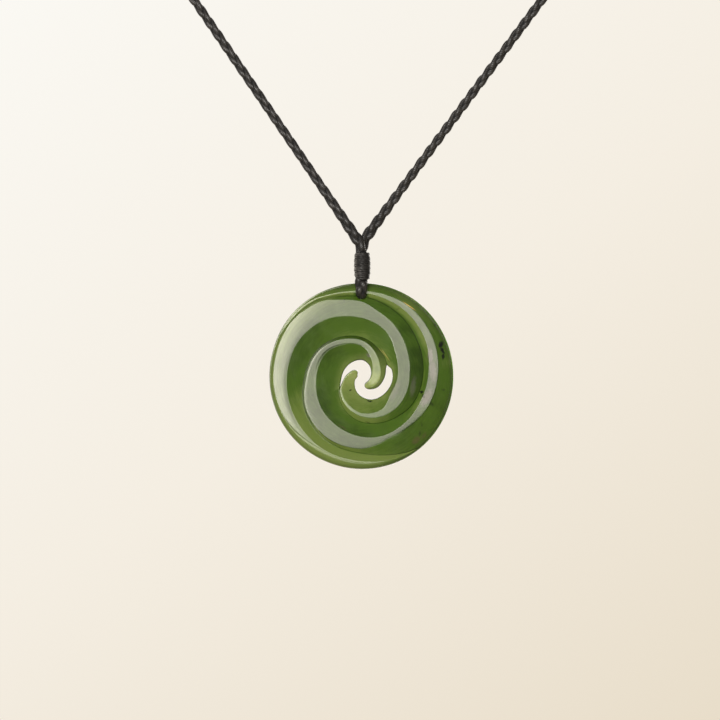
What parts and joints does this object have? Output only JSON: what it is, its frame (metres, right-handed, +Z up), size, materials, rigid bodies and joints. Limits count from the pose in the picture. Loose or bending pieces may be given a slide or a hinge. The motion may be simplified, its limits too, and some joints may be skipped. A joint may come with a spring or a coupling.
{
  "type": "koru pendant necklace",
  "caption": "Round green stone pendant carved and pierced as a double spiral, hanging from a bound loop of plaited black neck cord.",
  "frame": {"origin": "middle of the neck cord at the wearer's nape, inside the closing clasp", "axes": "+Z up, with the stone hanging below the origin; -Y is the wearer's front, which the carved face in the picture faces; +X is to the right in the picture"},
  "size_m": [0.1222, 0.0084, 0.2147],
  "materials": {
    "greenstone": "polished",
    "plaited_cord": "waxed",
    "binding_thread": "waxed",
    "clasp": "satin"
  },
  "bodies": {
    "necklace": {"pendant_loop": "plaited_cord", "whipping": "binding_thread", "neck_cord_left": "plaited_cord", "neck_cord_right": "plaited_cord", "closing_clasp": "clasp"},
    "stone": {"disc": "greenstone"}
  },
  "joints": [
    {"name": "pendant_swing", "type": "hinge", "parent": "necklace", "child": "stone", "pos_m": [0, 0, -0.1742], "axis": [0, 1, 0], "range_deg": [-25, 25]}
  ]
}
